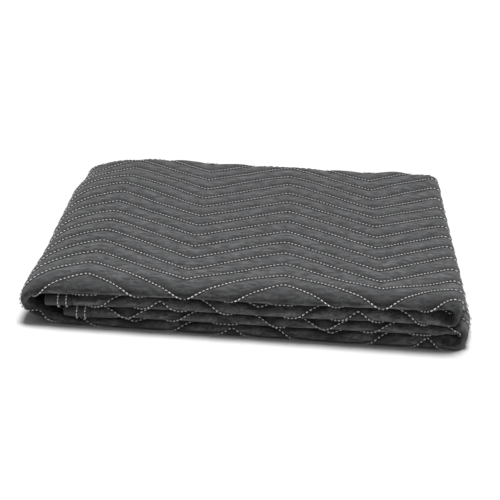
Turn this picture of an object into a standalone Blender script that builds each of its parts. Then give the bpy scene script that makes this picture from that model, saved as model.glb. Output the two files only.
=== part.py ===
"""A quilted moving pad with bound edges, folded and lying on a level surface.

The pad is folded in four from front to back, which makes a strip of four plies with its nose at the
front. Its outside is a ply that ends in a fold at the rear, and both bound sides lie on the strip's
inside, one on the other. The strip is then folded in four from left to right: second layer, top
layer, round the big loop at the left, bottom layer, third layer. The script is in metres, with +Z
up, +X to the right along the strip and -Y at the front, and its origin is the middle of the box on
the surface.
"""

import math

import bmesh
import bpy
from mathutils import Vector

# The finished pad, 77 inches across the strip: an 80 inch blank that the quilting has drawn in
INCH = 0.0254
PAD_ACROSS = 77 * INCH

# Zigzag quilting: rows 1.5 inches apart, which rise and fall 3 inches every 4 inches of run
ROW_PITCH = 1.5 * INCH
ZIGZAG_RUN = 4 * INCH
ZIGZAG_RISE = 3 * INCH
FIRST_PEAK_X = -0.1695
FIRST_ROW = 0.00715
SEAM_DEPTH = 0.45

# Cuts nearer to a corner than this go through it, and stations nearer than this are one
CUT_TOLERANCE = 1e-5
SAME_PLACE = 1e-7

# Four plies make the strip. Their sizes are shares of its thickness
PLY_PITCH = 0.26
PLY_SHARE = 0.22
STRIP_THICKNESS = 0.012
NOSE_RADIUS = 1.5 * PLY_PITCH * STRIP_THICKNESS
TURN_RADIUS = 0.5 * PLY_PITCH * STRIP_THICKNESS
HALF_PLY = 0.5 * PLY_SHARE * STRIP_THICKNESS
REAR_FOLD_SETBACK = 0.0015
INNER_EDGE_SETBACK = 0.0030

# Binding tape, folded over the edges. Its walls are shares of the ply that it grips
TAPE_WIDTH = 0.028
TAPE_WALL = 0.20
GRIPPED_PLY = 0.40
CLEARANCE = 0.0003
TAPE_EDGE = 0.0006
GRIP_RAMP = 0.0016

# Heights above the surface where each layer ends, a row for each place along X
LAYER_GAP = 0.0005
STACK = (
    # x, bottom layer, third layer, second layer, top layer
    (-0.2145, 0.0105, 0.0185, 0.0305, 0.0482),
    (-0.1775, 0.0080, 0.0205, 0.0340, 0.0495),
    (-0.1245, 0.0102, 0.0220, 0.0362, 0.0495),
    (0.1805, 0.0130, 0.0232, 0.0371, 0.0495),
    (0.2134, 0.0116, 0.0232, 0.0362, 0.0492),
)
BOTTOM, THIRD, SECOND, TOP = 1, 2, 3, 4
EDGE_OF_SECOND_X = -0.2105
EDGE_OF_THIRD_X = -0.1925
UPPER_FOLD_X = 0.2134
LOWER_FOLD_X = 0.2239
LOOP_TOP_X = -0.1895
LOOP_BOTTOM_X = -0.1775

# The loop at the left: its tip, how far each curve is pulled, and the strip's thickness at the tip
LOOP_TIP = (-0.2330, 0.0228)
LOOP_PULL_TOP = 0.030
LOOP_PULL_ABOVE = 0.0092
LOOP_PULL_BELOW = 0.0078
LOOP_PULL_BOTTOM = 0.0280
LOOP_THICKNESS = 0.0092

# Where in the strip the cloth keeps its length round each turn, as a share out from the middle
SLACK_RIGHT = 0.12
SLACK_LEFT = 0.40

# How far each layer is set back from the front of the pad
SETBACK = {SECOND: 0.001, TOP: 0.0, BOTTOM: 0.005, THIRD: 0.003}

TURN_STEPS = 5
LOOP_STEPS = 5
NOSE_STEPS = 5
INNER_STEPS = 3

# Lines along the strip where its settled shape changes, from the front and from the rear of the pad
FRONT_LINES = (0.022, 0.070)
REAR_LINES = (TAPE_WIDTH + GRIP_RAMP, 0.060, 0.092, 0.125)

# Colours, how matt they are, and the angle up to which neighbouring faces look like one
CLOTH_GREY = (0.062, 0.063, 0.065)
TAPE_GREY = (0.050, 0.051, 0.053)
CLOTH_ROUGHNESS = 0.95
TAPE_ROUGHNESS = 0.90
SMOOTH_ANGLE = math.radians(50)

# Faces of the flat cloth whose normal rises more than this are on its outer side
FACES_OUT = 0.5

# Cloth of which the tape leaves more than this is quilted
FREE_OF_TAPE = 0.99


def ramp(value, start, end):
    """A straight rise from 0 at start to 1 at end."""
    return min(max((value - start) / (end - start), 0.0), 1.0)


def between(rows, x, column):
    """The column's value at x, read between the rows of a table."""
    if x <= rows[0][0]:
        return rows[0][column]
    for low, high in zip(rows, rows[1:]):
        if x <= high[0]:
            share = (x - low[0]) / (high[0] - low[0])
            return low[column] + share * (high[column] - low[column])
    return rows[-1][column]


def bezier(points, t):
    """The place and the heading on a cubic curve in the XZ plane."""
    u = 1.0 - t
    weights = (u * u * u, 3 * u * u * t, 3 * u * t * t, t * t * t)
    slopes = (-3 * u * u, 3 * u * u - 6 * u * t, 6 * u * t - 3 * t * t, 3 * t * t)
    place = [sum(w * p[i] for w, p in zip(weights, points)) for i in (0, 1)]
    heading = [sum(s * p[i] for s, p in zip(slopes, points)) for i in (0, 1)]
    return place, math.atan2(heading[1], heading[0])


class Strip:
    """The middle line of the four-ply strip, seen from the front, from the second layer's bound edge."""

    def __init__(self):
        self.stations = []
        self.run = [0.0]
        self.lay_layer(SECOND, EDGE_OF_SECOND_X, UPPER_FOLD_X, 0.0)
        self.turn(UPPER_FOLD_X, SECOND, TOP)
        self.lay_layer(TOP, UPPER_FOLD_X, LOOP_TOP_X, math.pi)
        self.loop()
        self.lay_layer(BOTTOM, LOOP_BOTTOM_X, LOWER_FOLD_X, 2 * math.pi)
        self.turn(LOWER_FOLD_X, BOTTOM, THIRD)
        self.lay_layer(THIRD, LOWER_FOLD_X, EDGE_OF_THIRD_X, 3 * math.pi)
        self.length = self.run[-1]
        self.peak = self.first_peak()

    def add(self, x, z, heading, thickness, setback, slack=0.0):
        """One station. The run grows by the distance on a line outside the middle by the slack."""
        station = (x, z, heading, thickness, setback)
        if self.stations:
            last = self.stations[-1]
            if math.dist(last[:2], station[:2]) < SAME_PLACE:
                return
            ends = []
            for sx, sz, turn, thick, _ in (last, station):
                out = slack * thick
                ends.append((sx + out * math.sin(turn), sz - out * math.cos(turn)))
            self.run.append(self.run[-1] + math.dist(*ends))
        self.stations.append(station)

    def layer_at(self, layer, x):
        """The middle height and the thickness of a layer."""
        low = 0.0 if layer == BOTTOM else between(STACK, x, layer - 1)
        high = between(STACK, x, layer) - LAYER_GAP
        return (low + high) / 2, high - low

    def lay_layer(self, layer, start, end, heading):
        """A layer's straight run, with a station at each place where the stack changes."""
        inside = [row[0] for row in STACK if min(start, end) < row[0] < max(start, end)]
        for x in [start, *sorted(inside, reverse=end < start), end]:
            middle, thickness = self.layer_at(layer, x)
            self.add(x, middle, heading, thickness, SETBACK[layer])

    def turn(self, x, below, above):
        """A tight half turn at the right, from one layer up to the next."""
        first = self.layer_at(below, x)[0]
        last = self.layer_at(above, x)[0]
        start = self.stations[-1]
        radius = (last - first) / 2
        for step in range(1, TURN_STEPS + 1):
            share = step / TURN_STEPS
            angle = math.pi * share
            self.add(
                x + radius * math.sin(angle),
                first + radius * (1.0 - math.cos(angle)),
                start[2] + angle,
                min(start[3], self.layer_at(above, x)[1]),
                SETBACK[below] + share * (SETBACK[above] - SETBACK[below]),
                SLACK_RIGHT,
            )

    def loop(self):
        """The big open turn at the left, from the top layer down to the bottom one."""
        top = self.stations[-1]
        middle, thickness = self.layer_at(BOTTOM, LOOP_BOTTOM_X)
        tip_x, tip_z = LOOP_TIP
        halves = (
            (
                (top[:2], (top[0] - LOOP_PULL_TOP, top[1]), (tip_x, tip_z + LOOP_PULL_ABOVE), LOOP_TIP),
                (top[3], LOOP_THICKNESS),
            ),
            (
                (
                    LOOP_TIP,
                    (tip_x, tip_z - LOOP_PULL_BELOW),
                    (LOOP_BOTTOM_X - LOOP_PULL_BOTTOM, middle),
                    (LOOP_BOTTOM_X, middle),
                ),
                (LOOP_THICKNESS, thickness),
            ),
        )
        for half, (points, (thick, thin)) in enumerate(halves):
            for step in range(1, LOOP_STEPS + 1):
                share = step / LOOP_STEPS
                (x, z), heading = bezier(points, share)
                whole = (half + share) / 2
                self.add(
                    x,
                    z,
                    heading % (2 * math.pi) if half == 0 else heading + 2 * math.pi,
                    thick + share * (thin - thick),
                    SETBACK[TOP] + whole * (SETBACK[BOTTOM] - SETBACK[TOP]),
                    SLACK_LEFT,
                )

    def first_peak(self):
        """The run at which the top layer's first peak of the quilting lies."""
        for (run, here), (next_run, there) in zip(
            zip(self.run, self.stations), zip(self.run[1:], self.stations[1:])
        ):
            level = math.isclose(here[2], math.pi) and math.isclose(there[2], math.pi)
            if level and there[0] <= FIRST_PEAK_X <= here[0]:
                return run + (next_run - run) * (here[0] - FIRST_PEAK_X) / (here[0] - there[0])
        raise ValueError("the first peak lies off the top layer")

    def at(self, run):
        """The station at this run, read between its neighbours."""
        index = next((i for i, r in enumerate(self.run[1:]) if run <= r), len(self.run) - 2)
        share = (run - self.run[index]) / (self.run[index + 1] - self.run[index])
        here, there = self.stations[index], self.stations[index + 1]
        return [a + share * (b - a) for a, b in zip(here, there)]


class Plies:
    """The four plies across the strip, from the inside ply's bound edge at the rear."""

    def __init__(self):
        arcs = math.pi * (NOSE_RADIUS + 2 * TURN_RADIUS)
        rounds = NOSE_RADIUS + HALF_PLY
        slack = REAR_FOLD_SETBACK + TURN_RADIUS + HALF_PLY
        # The inside ply, two middle plies and the innermost one add up to the pad's size across
        self.depth = (PAD_ACROSS - arcs + 4 * rounds + 2 * slack + INNER_EDGE_SETBACK) / 4
        self.front = rounds - self.depth / 2
        self.rear = self.depth / 2 - slack
        outer = self.depth / 2 - self.front
        middle = self.rear - self.front
        inner = outer - INNER_EDGE_SETBACK
        # A row for each stretch: length, first y, share of the thickness, radius of its turn
        self.stretches = (
            (outer, self.depth / 2, 1.5 * PLY_PITCH, 0.0),
            (math.pi * NOSE_RADIUS, self.front, 1.5 * PLY_PITCH, -NOSE_RADIUS),
            (middle, self.front, -1.5 * PLY_PITCH, 0.0),
            (math.pi * TURN_RADIUS, self.rear, -1.5 * PLY_PITCH, TURN_RADIUS),
            (middle, self.rear, -0.5 * PLY_PITCH, 0.0),
            (math.pi * TURN_RADIUS, self.front, -0.5 * PLY_PITCH, -TURN_RADIUS),
            (inner, self.front, 0.5 * PLY_PITCH, 0.0),
        )

    def cuts(self):
        """Where the cloth needs a line along the strip, to turn or to settle."""
        lines = [line - self.depth / 2 for line in FRONT_LINES]
        lines += [self.depth / 2 - line for line in REAR_LINES]
        places = []
        start = 0.0
        way = -1
        for length, y, _, radius in self.stretches:
            if radius == 0.0:
                places += [start] + sorted(start + way * (line - y) for line in lines)
                way = -way
            else:
                steps = NOSE_STEPS if abs(radius) == NOSE_RADIUS else INNER_STEPS
                places += [start + length * step / steps for step in range(steps)]
            start += length
        return places[1:]

    def at(self, across, out):
        """(y, share of the thickness) for a place on the cloth, out being -0.5 to 0.5 of the ply.

        The share is worked out from the strip's inside, and is given from its outside.
        """
        ways = (-1, -1, 1, 1, -1, -1, 1)
        faces = (1, 1, -1, -1, 1, 1, -1)
        for (length, y, share, radius), way, face in zip(self.stretches, ways, faces):
            if across <= length or face == -1 and share > 0:
                break
            across -= length
        if radius == 0.0:
            return y + way * across, -share - face * out * PLY_SHARE
        angle = across / abs(radius)
        turn_share = radius / STRIP_THICKNESS
        # The nose turns over and bulges to the front, the other turns go back
        rises = share > 0
        outward = 1 if share > 0 or radius > 0 else -1
        reach = abs(turn_share) + outward * out * PLY_SHARE
        centre = share - abs(turn_share) if rises else share + abs(turn_share)
        side = 1 if rises else -1
        bulge = math.copysign(reach * STRIP_THICKNESS * math.sin(angle), radius)
        return y + bulge, -centre - side * reach * math.cos(angle)


STRIP = Strip()
PLIES = Plies()

# Across the cloth: where the nose begins and ends, where its quilted field ends on the outside ply,
# where that ply ends at the rear, and where one row lies at the zigzag's valleys
NOSE_START = PLIES.stretches[0][0]
NOSE_END = NOSE_START + PLIES.stretches[1][0]
NOSE_FIELD = NOSE_END + FRONT_LINES[1] - PLIES.depth / 2 - PLIES.front
OUTSIDE_END = NOSE_END + PLIES.stretches[2][0]
ROW_AT_VALLEY = NOSE_END + PLIES.depth / 2 - PLIES.front - FIRST_ROW - ZIGZAG_RISE


# The stack's settled shape: a fuller front, a slack corner and drawn-in noses at the right turns.
# Each change starts and ends on a line of the cloth, so that neighbouring plies move as one
FRONT_RISE_LEFT, FRONT_RISE_RIGHT = 0.03, 0.135
CORNER_DROP = 0.12
CORNER_DRAW = 0.010
FRONT_RIGHT_DRAW = 0.007
TIP_X = -0.230
LEFT_X, RIGHT_X = STACK[2][0], STACK[3][0]

# The noses are drawn in at the middle of each right fold, and this fades out by its top and bottom
NOSE_DENT = 0.0045
DENT_FULL, DENT_GONE = 0.10, 0.95

# The middle of the settled pad's box, which is moved to the origin
BOX_MIDDLE_X = -0.00145
BOX_MIDDLE_Y = 0.00265


def settle(x, y, z):
    """Moves a place of the plain stack to where the real pad has settled. The surface stays at zero."""
    front, rear = -PLIES.depth / 2, PLIES.depth / 2
    fuller = ramp(y, front + FRONT_LINES[1], front + FRONT_LINES[0])
    rise = FRONT_RISE_LEFT + (FRONT_RISE_RIGHT - FRONT_RISE_LEFT) * ramp(x, STACK[1][0], RIGHT_X)
    slack = ramp(x, LEFT_X, TIP_X) * ramp(y, rear - REAR_LINES[-1], rear - REAR_LINES[0])
    height = z * (1.0 + rise * fuller) * (1.0 - CORNER_DROP * slack)
    at_front = ramp(y, front + FRONT_LINES[1], front)
    right = x + CORNER_DRAW * slack - FRONT_RIGHT_DRAW * at_front * ramp(x, RIGHT_X, LOWER_FOLD_X)
    dent = 0.0
    for fold_x, middle, half in (
        (UPPER_FOLD_X, STACK[-1][SECOND], (STACK[-1][TOP] - STACK[-1][THIRD]) / 2),
        (LOWER_FOLD_X, STACK[-1][BOTTOM], STACK[-1][THIRD] / 2),
    ):
        dent += ramp(x, RIGHT_X, fold_x) * ramp(abs(z - middle), DENT_GONE * half, DENT_FULL * half)
    return Vector((right, y + NOSE_DENT * dent * at_front, height))


def place(run, across, out):
    """Where a point of the flat cloth lies on the folded pad."""
    x, z, heading, thickness, setback = STRIP.at(run)
    y, share = PLIES.at(across, out)
    reach = share * thickness
    z -= reach * math.cos(heading)
    x += reach * math.sin(heading)
    return settle(x, y, max(z, 0.0)) + Vector((-BOX_MIDDLE_X, setback - BOX_MIDDLE_Y, 0.0))


def zigzag(run):
    """How far a row of quilting lies behind its valleys at this run."""
    half_turns = (run - STRIP.peak) / ZIGZAG_RUN
    return ZIGZAG_RISE * (1.0 - abs((half_turns + 1.0) % 2.0 - 1.0))


def seam_depth(run, across):
    """1 on a row of quilting, 0 halfway to the next."""
    phase = (across - ROW_AT_VALLEY - zigzag(run)) / ROW_PITCH
    return 1.0 - 2.0 * abs(phase - round(phase))


def grip(edge_distance):
    """How much of the ply is left, which the tape grips thin along the edge."""
    return GRIPPED_PLY + (1.0 - GRIPPED_PLY) * ramp(edge_distance, TAPE_WIDTH, TAPE_WIDTH + GRIP_RAMP)


def cut(bm, faces, point, normal):
    """Cuts these faces along a plane, and gives back the geometry to cut next."""
    geometry = list({*faces, *(e for f in faces for e in f.edges), *(v for f in faces for v in f.verts)})
    result = bmesh.ops.bisect_plane(bm, geom=geometry, dist=CUT_TOLERANCE, plane_co=point, plane_no=normal)
    return [item for item in result["geom"] if isinstance(item, bmesh.types.BMFace)]


def cut_all(bm, places, axis):
    """Cuts the whole flat cloth at each place along one axis."""
    for value in places:
        point = Vector((0.0, 0.0, 0.0))
        point[axis] = value
        normal = Vector((0.0, 0.0, 0.0))
        normal[axis] = 1.0
        cut(bm, bm.faces[:], point, normal)


def flat_slab(bm, low, high):
    """A block of cloth from its low to its high corner, in run, across and out."""
    bmesh.ops.create_cube(bm, size=1.0)
    for vertex in bm.verts:
        vertex.co = Vector([(a + b) / 2 + c * (b - a) for a, b, c in zip(low, high, vertex.co)])


def finish(name, bm, material, collection):
    """Makes the object from its folded mesh."""
    mesh = bpy.data.meshes.new(name)
    bm.to_mesh(mesh)
    bm.free()
    mesh.materials.append(material)
    mesh.shade_smooth()
    mesh.set_sharp_from_angle(angle=SMOOTH_ANGLE)
    collection.objects.link(bpy.data.objects.new(name, mesh))


def make_material(name, colour, roughness):
    """A matt cloth."""
    material = bpy.data.materials.new(name)
    material.use_nodes = True
    shader = material.node_tree.nodes["Principled BSDF"]
    shader.inputs["Base Color"].default_value = (*colour, 1.0)
    shader.inputs["Roughness"].default_value = roughness
    shader.inputs["Metallic"].default_value = 0.0
    return material


def quilt_columns():
    """The runs at which the zigzag turns, inside the quilted field."""
    first = math.floor(STRIP.peak / ZIGZAG_RUN)
    last = math.ceil((STRIP.length - STRIP.peak) / ZIGZAG_RUN)
    return [STRIP.peak + step * ZIGZAG_RUN for step in range(-first - 1, last + 1)]


def rows_end(run):
    """Where the rows end across the cloth. In a column between two layers only the nose shows them."""
    column = math.floor((run + CUT_TOLERANCE - STRIP.peak) / ZIGZAG_RUN)
    ends = [STRIP.peak + step * ZIGZAG_RUN for step in (column, column + 1)]
    first, last = (STRIP.at(min(max(end, 0.0), STRIP.length))[2] for end in ends)
    if math.isclose(first, last) and not math.isclose(first, math.pi):
        return NOSE_FIELD
    return OUTSIDE_END


def is_quilted(run, across):
    """Whether the outer side is sewn in here. It stays flat where the pad rests on it."""
    rests = math.isclose(STRIP.at(run)[2], 2 * math.pi)
    end = NOSE_FIELD if rests else rows_end(run)
    return NOSE_START + CUT_TOLERANCE < across < end - CUT_TOLERANCE


def cut_quilting(bm):
    """Cuts each row of quilting, and the crest between rows, into the outside ply's outer face."""
    columns = quilt_columns()
    edge = TAPE_WIDTH + GRIP_RAMP
    for start, end in zip(columns, columns[1:]):
        low, high = max(start, edge), min(end, STRIP.length - edge)
        if low >= high:
            continue
        far = rows_end((low + high) / 2)
        for limit in (low, high):
            field = field_faces(bm, edge, STRIP.length - edge, far)
            cut(bm, field, Vector((limit, 0.0, 0.0)), Vector((1.0, 0.0, 0.0)))
        faces = field_faces(bm, low, high, far)
        slope = (zigzag(end) - zigzag(start)) / ZIGZAG_RUN
        normal = Vector((-slope, 1.0, 0.0)).normalized()
        first = math.floor(2 * (NOSE_START - ZIGZAG_RISE - ROW_AT_VALLEY) / ROW_PITCH)
        last = math.ceil(2 * (far + ZIGZAG_RISE - ROW_AT_VALLEY) / ROW_PITCH)
        for half_row in range(first, last + 1):
            across = ROW_AT_VALLEY + zigzag(start) + half_row * ROW_PITCH / 2
            faces = cut(bm, faces, Vector((start, across, 0.0)), normal)


def field_faces(bm, low, high, far):
    """The faces of the cloth's outer side between two runs, from the nose to far across."""
    found = []
    for face in bm.faces:
        centre = face.calc_center_median()
        inside = low < centre.x < high and NOSE_START < centre.y < far
        if face.normal.z > FACES_OUT and inside:
            found.append(face)
    return found


def depth_in_strip(across):
    """Grows from the front to the rear of a ply, and up a nose, where height counts for more."""
    y, share = PLIES.at(across, 0.0)
    return y + share


def fold(bm, shape):
    """Splits the flat mesh into triangles and moves each point to its place on the folded pad.

    A four-sided face is split along the diagonal that its neighbours in the other plies take too.
    Folding turns the mesh over, so its faces are turned out again at the end.
    """
    placed = {vertex: shape(*vertex.co) for vertex in bm.verts}
    for face in bm.faces[:]:
        if len(face.verts) != 4:
            continue
        a, b, c, d = face.verts
        to_the_right = math.cos(STRIP.at((a.co.x + c.co.x) / 2)[2]) * (c.co.x - a.co.x)
        to_the_rear = depth_in_strip(c.co.y) - depth_in_strip(a.co.y)
        bmesh.utils.face_split(face, *((a, c) if to_the_right * to_the_rear > 0.0 else (b, d)))
    bmesh.ops.triangulate(bm, faces=[face for face in bm.faces if len(face.verts) > 3])
    for vertex in bm.verts:
        vertex.co = placed[vertex]
    bmesh.ops.reverse_faces(bm, faces=bm.faces[:])


def pad_place(run, across, out):
    """Where a point of the pad lies, with its rows sewn down and its edges gripped by the tape."""
    held = min(grip(min(run, STRIP.length - run)), grip(min(across, PAD_ACROSS - across)))
    if out > 0.0 and held > FREE_OF_TAPE and is_quilted(run, across):
        out -= SEAM_DEPTH * seam_depth(run, across)
    return place(run, across, out * held)


def make_pad(collection):
    """The quilted pad, cut flat, quilted on its outer side and folded."""
    bm = bmesh.new()
    hem = CLEARANCE + TAPE_EDGE
    length = STRIP.length
    flat_slab(bm, (hem, hem, -0.5), (length - hem, PAD_ACROSS - hem, 0.5))
    for axis, size in ((0, length), (1, PAD_ACROSS)):
        for distance in (TAPE_WIDTH, TAPE_WIDTH + GRIP_RAMP):
            cut_all(bm, (distance, size - distance), axis)
    cut_all(bm, STRIP.run[1:-1], 0)
    cut_all(bm, PLIES.cuts(), 1)
    bm.normal_update()
    cut_quilting(bm)
    fold(bm, pad_place)
    cloth = make_material("quilted_cloth", CLOTH_GREY, CLOTH_ROUGHNESS)
    finish("quilted_pad", bm, cloth, collection)


def tape_profile(bm, along_run, start, inward):
    """The open channel of a tape at its start: each corner is (distance in from the edge, out)."""
    inner = 0.5 - TAPE_WALL
    corners = (
        (TAPE_WIDTH - CLEARANCE, 0.5),
        (0.0, 0.5),
        (0.0, -0.5),
        (TAPE_WIDTH - CLEARANCE, -0.5),
        (TAPE_WIDTH - CLEARANCE, -inner),
        (TAPE_EDGE, -inner),
        (TAPE_EDGE, inner),
        (TAPE_WIDTH - CLEARANCE, inner),
    )
    size = PAD_ACROSS if along_run else STRIP.length
    vertices = []
    for distance, out in corners:
        edge = distance if inward > 0 else size - distance
        vertices.append(bm.verts.new((start, edge, out) if along_run else (edge, start, out)))
    return bm.faces.new(vertices)


def make_tape(name, collection, material, along_run, inward):
    """One length of binding tape, run along an edge of the flat pad and folded with it."""
    bm = bmesh.new()
    margin = TAPE_WIDTH + CLEARANCE if along_run else 0.0
    size = STRIP.length if along_run else PAD_ACROSS
    face = tape_profile(bm, along_run, margin, inward)
    grown = bmesh.ops.extrude_face_region(bm, geom=[face])
    offset = Vector((size - 2 * margin, 0.0, 0.0) if along_run else (0.0, size, 0.0))
    ends = [item for item in grown["geom"] if isinstance(item, bmesh.types.BMVert)]
    bmesh.ops.translate(bm, verts=ends, vec=offset)
    cut_all(bm, STRIP.run, 0)
    cut_all(bm, PLIES.cuts(), 1)
    bmesh.ops.recalc_face_normals(bm, faces=bm.faces[:])
    fold(bm, place)
    finish(name, bm, material, collection)


def main():
    """Clears the scene and makes the pad and its four tapes."""
    for obj in list(bpy.data.objects):
        bpy.data.objects.remove(obj)
    collection = bpy.data.collections.new("moving_pad")
    bpy.context.scene.collection.children.link(collection)
    make_pad(collection)
    tape = make_material("binding_tape", TAPE_GREY, TAPE_ROUGHNESS)
    make_tape("binding_end_second", collection, tape, along_run=False, inward=1)
    make_tape("binding_end_third", collection, tape, along_run=False, inward=-1)
    make_tape("binding_side_outer", collection, tape, along_run=True, inward=1)
    make_tape("binding_side_inner", collection, tape, along_run=True, inward=-1)


main()
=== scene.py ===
"""The looks of a quilted moving pad, folded and lying on a floor.

The pad is worked out flat, in (run, across, out): the run along the folded strip, the distance across
the cloth from the inside ply's bound edge at the rear, and the place in the cloth's thickness. One map
then folds the pad, its binding tapes and its thread together. All in metres.
"""

import logging
import math
from bisect import bisect_left, bisect_right
from dataclasses import dataclass, field
from enum import Enum

import bmesh
import bpy
import numpy as np
from mathutils import Matrix, Vector


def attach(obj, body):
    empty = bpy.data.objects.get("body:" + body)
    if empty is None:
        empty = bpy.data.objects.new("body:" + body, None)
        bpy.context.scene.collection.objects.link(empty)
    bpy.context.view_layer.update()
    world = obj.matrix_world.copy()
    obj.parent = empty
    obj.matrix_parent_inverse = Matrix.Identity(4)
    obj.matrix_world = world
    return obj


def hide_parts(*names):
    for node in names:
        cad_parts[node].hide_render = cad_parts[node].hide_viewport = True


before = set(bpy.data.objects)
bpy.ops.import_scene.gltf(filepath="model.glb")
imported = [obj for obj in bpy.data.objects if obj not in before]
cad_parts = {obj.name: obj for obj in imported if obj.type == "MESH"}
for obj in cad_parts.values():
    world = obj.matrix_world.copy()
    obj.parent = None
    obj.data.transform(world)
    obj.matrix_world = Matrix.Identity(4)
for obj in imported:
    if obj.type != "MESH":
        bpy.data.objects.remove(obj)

LOG = logging.getLogger("moving_pad")
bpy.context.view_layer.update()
ROOT = "root"
INCH = 0.0254
FLAT_MAP = "flat"
# The mesh attribute that holds the painted shade
SHADE = "shade"
QUILTING_SEED = 7
FIRST_BINDING_SEED = 20
# How far apart a band pattern's bands lie at a scale of 1
BANDS_APART = 0.31


def ease(value: np.ndarray, start: float, end: float) -> np.ndarray:
    """A smooth rise.

    Args:
        value: The places at which it is read.
        start: Where it is 0.
        end: Where it is 1.

    Returns:
        Values from 0 to 1.
    """
    share = np.clip((value - start) / (end - start), 0.0, 1.0)
    return share * share * (3.0 - 2.0 * share)


def fade(value: np.ndarray, start: float, end: float) -> np.ndarray:
    """A smooth fall, from 1 where it starts to 0 where it ends."""
    return 1.0 - ease(value, start, end)


def running_total(lengths: np.ndarray | list[float]) -> np.ndarray:
    """The distance passed before each length, and after the last one."""
    return np.concatenate(([0.0], np.cumsum(lengths)))


@dataclass(frozen=True)
class Unevenness:
    """Soft hills and dips of one size, the same each time.

    Args:
        seed: Picks the hills.
        grain_u: The size of a hill along the first direction.
        grain_v: The size of a hill along the second direction.
    """

    seed: int
    grain_u: float
    grain_v: float
    cells: int = 64

    def at(self, u: np.ndarray, v: np.ndarray) -> np.ndarray:
        """The height at each place.

        Args:
            u: Places along the first direction.
            v: Places along the second direction.

        Returns:
            Heights from -1 to 1.
        """
        table = np.random.default_rng(self.seed).uniform(-1.0, 1.0, (self.cells, self.cells))
        corner_u, part_u = np.divmod(np.asarray(u) / self.grain_u, 1.0)
        corner_v, part_v = np.divmod(np.asarray(v) / self.grain_v, 1.0)
        corner_u, corner_v = corner_u.astype(int), corner_v.astype(int)
        soft_u = part_u * part_u * (3.0 - 2.0 * part_u)
        soft_v = part_v * part_v * (3.0 - 2.0 * part_v)
        height = 0.0
        for step_u, share_u in ((0, 1.0 - soft_u), (1, soft_u)):
            for step_v, share_v in ((0, 1.0 - soft_v), (1, soft_v)):
                found = table[(corner_u + step_u) % self.cells, (corner_v + step_v) % self.cells]
                height = height + share_u * share_v * found
        return height


class Layer(Enum):
    """The four layers of the stack. Each value is the column of the layer's top in the stack's table."""

    BOTTOM = 1
    THIRD = 2
    SECOND = 3
    TOP = 4


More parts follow.
